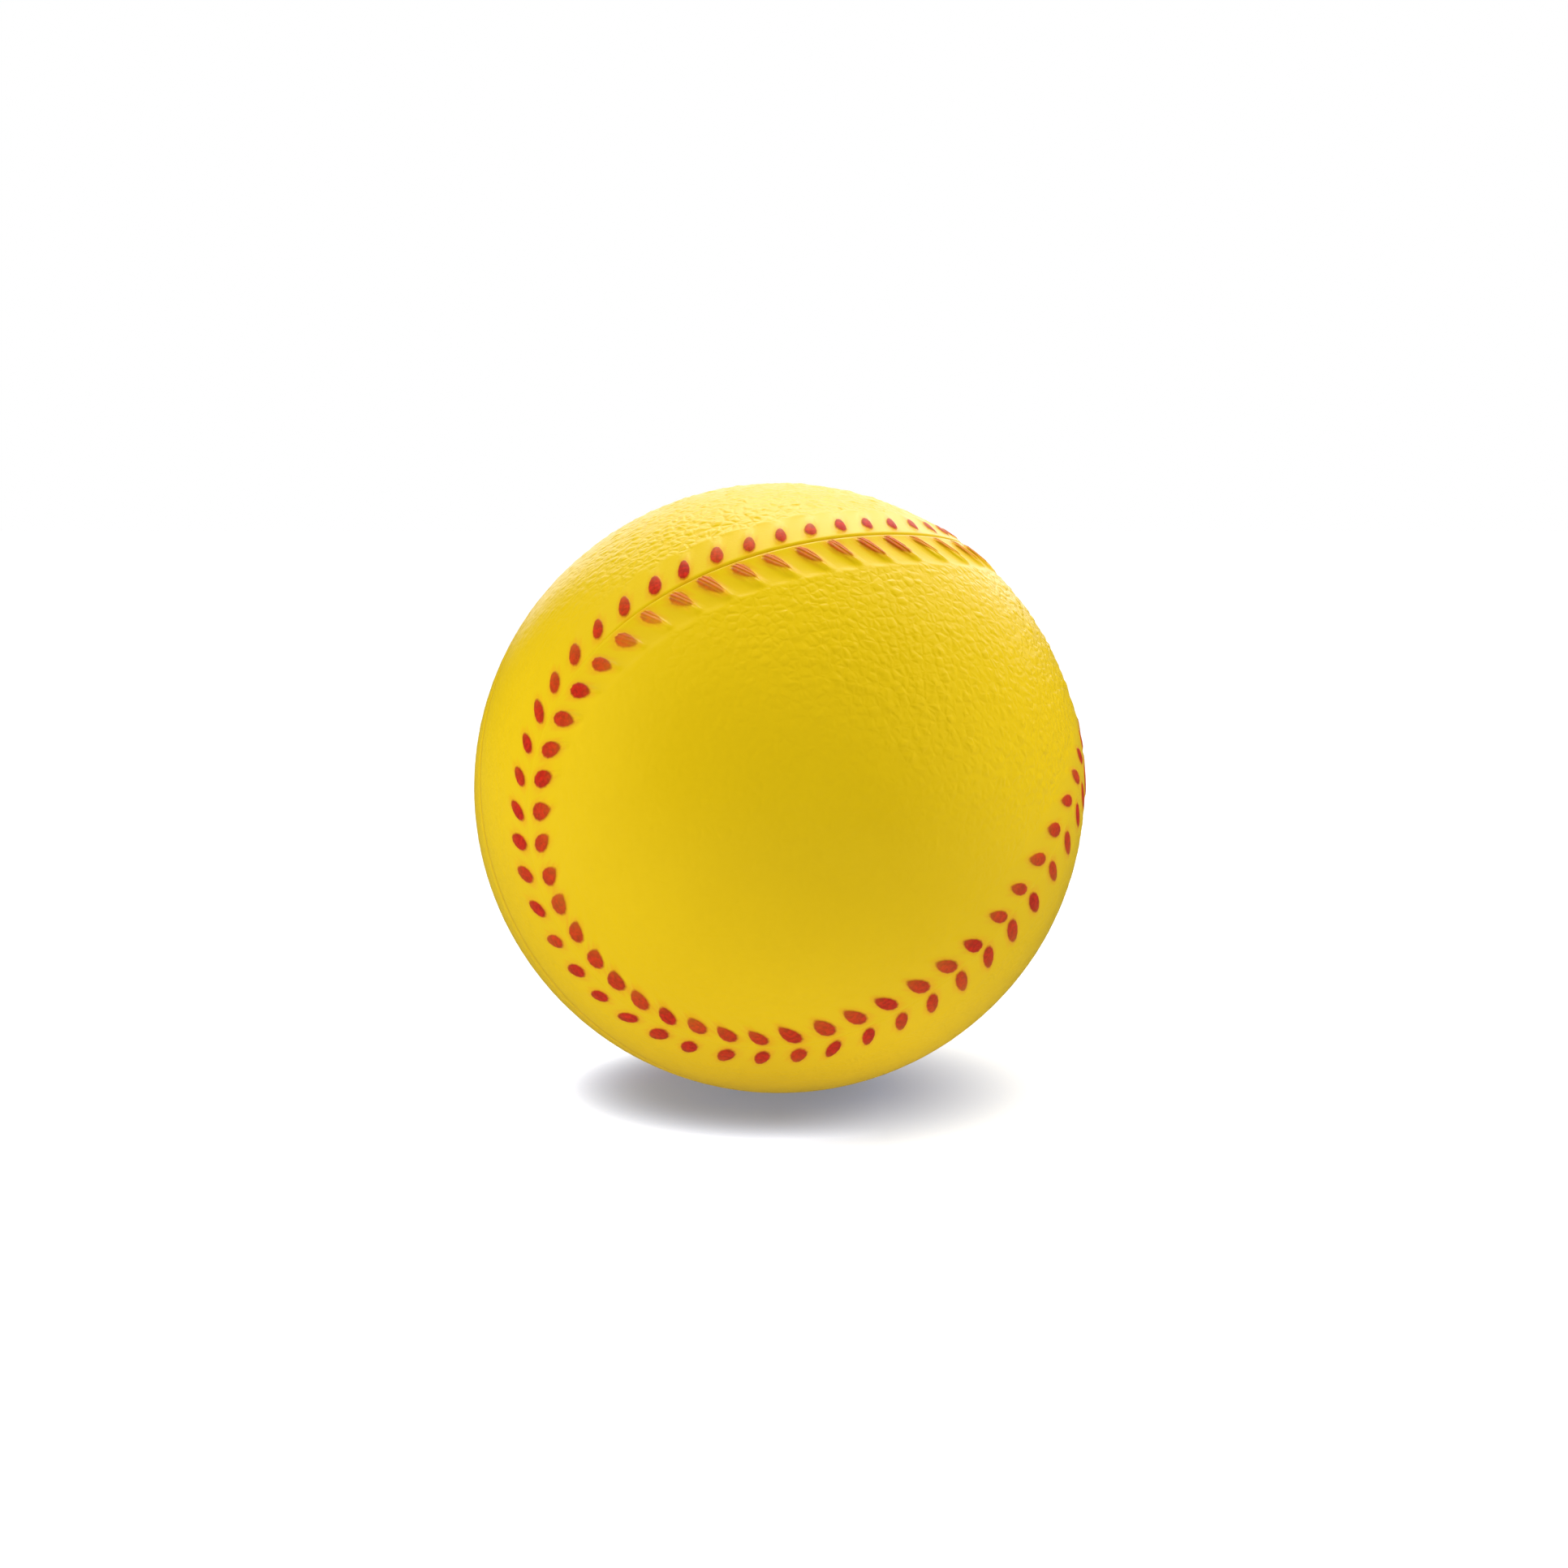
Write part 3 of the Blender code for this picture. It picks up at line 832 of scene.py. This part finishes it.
# %% Yellow skin: strands, wrinkles and pores
WRINKLES_PER_METRE, WRINKLE_WIDTH = 950.0, 0.30
STRAND_BUMP, WRINKLE_BUMP, PORE_BUMP = 0.035 * MM, 0.045 * MM, 0.04 * MM
bump(tree, shader, 1.0, STRAND_BUMP, add_strands(tree)["Height"])
wrinkles = add_node(tree, "ShaderNodeTexVoronoi", {
    "Vector": place, "Scale": WRINKLES_PER_METRE}, feature="DISTANCE_TO_EDGE")
wrinkle = add_node(tree, "ShaderNodeMapRange", {
    "Value": wrinkles.outputs["Distance"], "From Max": WRINKLE_WIDTH}, interpolation_type="SMOOTHSTEP")
wrinkle_height = maths(tree, "MULTIPLY", wrinkle.outputs["Result"], carried(tree, "grain_share"))
bump(tree, shader, 1.0, WRINKLE_BUMP, wrinkle_height)
bump(tree, shader, 0.3, PORE_BUMP, skin_pores["Height"])
print("nodes of the skin:", len(tree.nodes))

# %% Red paint: colour
PAINT_PORES = 2000.0
DEEP_RED, BRIGHT_RED = (0.38, 0.014, 0.003, 1), (0.63, 0.020, 0.004, 1)
RIM_RED, TAIL_BROWN = (0.34, 0.028, 0.003, 1), (0.44, 0.095, 0.004, 1)
THIN_ORANGE, EDGE_YELLOW = (0.76, 0.34, 0.006, 1), (0.78, 0.44, 0.005, 1)
GAP_ORANGE, GAP_SHARE = (0.72, 0.34, 0.006, 1), 0.35
red_paint, tree, shader = new_material("red_stitch_paint")
place = add_node(tree, "ShaderNodeTexCoord").outputs["Object"]
paint_pores = add_pores(tree, place, PAINT_PORES)
paint_strands = add_strands(tree)
edge, tail = carried(tree, "paint_edge"), carried(tree, "paint_tail")
red = mixed(tree, between(tree, paint_pores["Height"], 0.35, 0.65), DEEP_RED, BRIGHT_RED)
rimmed = mixed(tree, between(tree, edge, 0.25, 0.70, 0.0, 0.60), red, RIM_RED)
tailed = mixed(tree, between(tree, tail, 0.55, 1.0, 0.0, 0.50), rimmed, TAIL_BROWN)
thinness = maths(tree, "MULTIPLY", carried(tree, "paint_thin"), between(tree, tail, 0.0, 1.0, 0.7, 1.6))
worn = mixed(tree, thinness, tailed, THIN_ORANGE)
striped = mixed(tree, maths(tree, "MULTIPLY", paint_strands["Gap"], GAP_SHARE), worn, GAP_ORANGE)
faded = mixed(tree, between(tree, edge, 0.50, 0.86), striped, EDGE_YELLOW)
tree.links.new(faded, shader.inputs["Base Color"])
print("nodes of the paint's colour:", len(tree.nodes))

# %% Red paint: sheen and relief
PAINT_BUMP = 0.05 * MM
tree.links.new(between(tree, paint_pores["Height"], 0.0, 1.0, 0.45, 0.60), shader.inputs["Roughness"])
bump(tree, shader, 1.0, PAINT_BUMP, paint_strands["Height"])
bump(tree, shader, 0.3, PAINT_BUMP, paint_pores["Height"])
shader.inputs["Specular IOR Level"].default_value = 0.30
shader.inputs["Specular Tint"].default_value = (1.0, 0.50, 0.35, 1)
print("nodes of the paint:", len(tree.nodes))

# %% Foam
FOAM_PORES, FOAM_BUMP = 1500.0, 0.2 * MM
DEEP_FOAM, PALE_FOAM = (0.66, 0.47, 0.05, 1), (0.88, 0.72, 0.16, 1)
foam_finish, tree, shader = new_material("open_yellow_foam")
place = add_node(tree, "ShaderNodeTexCoord").outputs["Object"]
foam_pores = add_pores(tree, place, FOAM_PORES)
tree.links.new(mixed(tree, foam_pores["Height"], DEEP_FOAM, PALE_FOAM), shader.inputs["Base Color"])
bump(tree, shader, 0.8, FOAM_BUMP, foam_pores["Height"])
shader.inputs["Roughness"].default_value = 0.9
print("nodes of the foam:", len(tree.nodes))

# %% [markdown]
# ## Put the pieces on the frame
#
# Every piece rides on the ball's one body and stands for the CAD solid in the same place.

# %% Ride and replace


def settle(piece, material, slot, *nodes):
    """Give a piece its finish, hang it on the ball's body, and hide the CAD nodes that it stands for."""
    piece.data.materials.clear()
    piece.data.materials.append(material)
    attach(piece, "root")
    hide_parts(*nodes)


for name, skin in skins.items():
    settle(skin, skin_finish, "skin", name + "_panel")
for (name, number), run in paints.items():
    settle(run, red_paint, "stitches", f"{name}_stitches_{number}")
settle(core, foam_finish, "foam", "foam_core")
print("pieces:", len(skins) + len(paints) + 1)

# %% [markdown]
# ## Floor, light and camera
#
# A plain studio with a white floor and soft lamps. The lamps behind the ball make only gloss, and those at the
# sides and above make only matt light, so that the highlight on top can be strong while the back of the ball
# isn't overexposed. Light Path tells the kinds of ray apart. The camera sees the floor as white, and most of the
# shadow that it sees is painted in the floor's material round the spot where the ball rests, so that its width
# and colour can be set. In gloss, floor and sky are faint, because a bright floor leaves a pale haze along the
# edge of dull foam. The floor close under the ball sends more light up, as a lit table does.

# %% Floor, as the kinds of ray meet it
FLOOR_SIZE = 8
FLOOR_WHITE, FLOOR_IN_SHADOW = (0.90, 0.90, 0.90, 1), (0.20, 0.20, 0.20, 1)
bpy.ops.object.select_all(action="DESELECT")
bpy.ops.mesh.primitive_plane_add(size=FLOOR_SIZE, location=(0, 0, -BALL_RADIUS))
floor = bpy.context.object
floor.name = "studio_floor"
floor_white, tree, shader = new_material("white_floor")
shader.inputs["Roughness"].default_value = 0.9
shader.inputs["Specular IOR Level"].default_value = 0.0
spot = add_node(tree, "ShaderNodeTexCoord").outputs["Object"]
away = add_node(tree, "ShaderNodeVectorMath", {0: spot}, operation="LENGTH").outputs["Value"]
path = add_node(tree, "ShaderNodeLightPath").outputs
seen = maths(tree, "MAXIMUM", path["Is Camera Ray"], path["Is Transmission Ray"])
tree.links.new(mixed(tree, seen, FLOOR_WHITE, FLOOR_IN_SHADOW), shader.inputs["Base Color"])
floor.data.materials.append(floor_white)
print("floor under the ball in mm:", round(floor.location.z / MM, 2))

# %% Shadow under the ball, and the light that the floor sends up
SHADE_TINT, TINT_NEAR, TINT_FAR = (0.64, 0.73, 1.0, 1), 12 * MM, 30 * MM
CRISP_NEAR, CRISP_FAR, CRISP_POWER = 12 * MM, 25.5 * MM, 2.6
SOFT_FAR, SOFT_POWER, SOFT_SIDE = 34 * MM, 2.0, 12 * MM
SHADE_DARKEST = 0.25
FLOOR_IN_GLOSS, FLOOR_UNDER, UNDER_NEAR, UNDER_FAR = 0.07, 0.60, 8 * MM, 65 * MM
tint = mixed(tree, between(tree, away, TINT_NEAR, TINT_FAR), SHADE_TINT, (1, 1, 1, 1))
tree.links.new(tint, shader.inputs["Emission Color"])
crisp = maths(tree, "POWER", between(tree, away, CRISP_NEAR, CRISP_FAR), CRISP_POWER)
soft = maths(tree, "POWER", between(tree, away, 0.0, SOFT_FAR), SOFT_POWER)
across = add_node(tree, "ShaderNodeSeparateXYZ", {0: spot}).outputs["X"]
on_soft_side = between(tree, across, 0.0, SOFT_SIDE)
softer = maths(tree, "MULTIPLY", maths(tree, "SUBTRACT", soft, crisp), on_soft_side)
lit = between(tree, maths(tree, "ADD", crisp, softer), 0.0, 1.0, SHADE_DARKEST, 1.0)
white = maths(tree, "MULTIPLY", seen, lit)
sent_up = between(tree, away, UNDER_NEAR, UNDER_FAR, FLOOR_UNDER, 0.0)
under = maths(tree, "MULTIPLY", path["Is Diffuse Ray"], sent_up)
tree.links.new(maths(tree, "ADD", white, under), shader.inputs["Emission Strength"])
in_gloss = add_node(tree, "ShaderNodeEmission", {"Strength": FLOOR_IN_GLOSS})
shown = add_node(tree, "ShaderNodeMixShader", {
    0: path["Is Glossy Ray"], 1: shader.outputs[0], 2: in_gloss.outputs[0]})
tree.links.new(shown.outputs[0], tree.nodes["Material Output"].inputs["Surface"])
print("nodes of the floor:", len(tree.nodes))

# %% Lamps


def softbox(name, size, place, power, in_gloss):
    """A square area light that faces the ball. It makes either its gloss or its matt light."""
    lamp = bpy.data.lights.new(name, "AREA")
    lamp.shape = "SQUARE"
    lamp.size = size
    lamp.energy = power
    light = bpy.data.objects.new(name, lamp)
    light.location = place
    light.rotation_euler = (-Vector(place)).to_track_quat("-Z", "Y").to_euler()
    light.visible_glossy = in_gloss
    light.visible_diffuse = not in_gloss
    bpy.context.scene.collection.objects.link(light)


softbox("back_softbox", 0.60, (0.0, 0.44, 0.32), 1.85, True)
softbox("high_back_softbox", 0.26, (0.0, 0.25, 0.43), 0.70, True)
softbox("back_right_softbox", 0.40, (0.26, 0.31, 0.32), 0.58, True)
softbox("left_softbox", 0.36, (-0.48, -0.17, 0.15), 1.45, False)
softbox("right_softbox", 0.36, (0.46, -0.16, 0.16), 0.36, False)
softbox("high_right_softbox", 0.30, (0.30, 0.05, 0.42), 2.00, False)
softbox("high_left_softbox", 0.30, (-0.30, 0.05, 0.42), 0.66, False)
print("lamps:", len(bpy.data.lights))

# %% Sky
SKY_LIGHT, SKY_IN_GLOSS = 0.37, 0.02
world = bpy.data.worlds.new("studio")
bpy.context.scene.world = world
world.use_nodes = True
tree = world.node_tree
path = add_node(tree, "ShaderNodeLightPath").outputs
seen = maths(tree, "MAXIMUM", path["Is Camera Ray"], path["Is Transmission Ray"])
level = between(tree, seen, 0.0, 1.0, SKY_LIGHT, 1.0)
dimmed = maths(tree, "MULTIPLY", path["Is Glossy Ray"], SKY_LIGHT - SKY_IN_GLOSS)
tree.links.new(maths(tree, "SUBTRACT", level, dimmed), tree.nodes["Background"].inputs["Strength"])
tree.nodes["Background"].inputs["Color"].default_value = (1, 1, 1, 1)
print("strength of the sky for matt light:", SKY_LIGHT)

# %% Camera
CAMERA_DISTANCE = 8 * BALL_RADIUS
CAMERA_HEIGHT = math.radians(7.0)
SENSOR_WIDTH, LENS = 36.0, 55.68
SHIFT_RIGHT, SHIFT_UP = 0.0029, 0.0024
camera = bpy.data.objects.new("camera", bpy.data.cameras.new("camera"))
camera.location = (0, -CAMERA_DISTANCE * math.cos(CAMERA_HEIGHT), CAMERA_DISTANCE * math.sin(CAMERA_HEIGHT))
camera.rotation_euler = (-camera.location).to_track_quat("-Z", "Y").to_euler()
camera.data.sensor_width = SENSOR_WIDTH
camera.data.lens = LENS
camera.data.shift_x, camera.data.shift_y = SHIFT_RIGHT, SHIFT_UP
bpy.context.scene.collection.objects.link(camera)
bpy.context.scene.camera = camera
bpy.context.scene.view_settings.view_transform = "Standard"
print("camera in mm:", [round(value / MM) for value in camera.location])
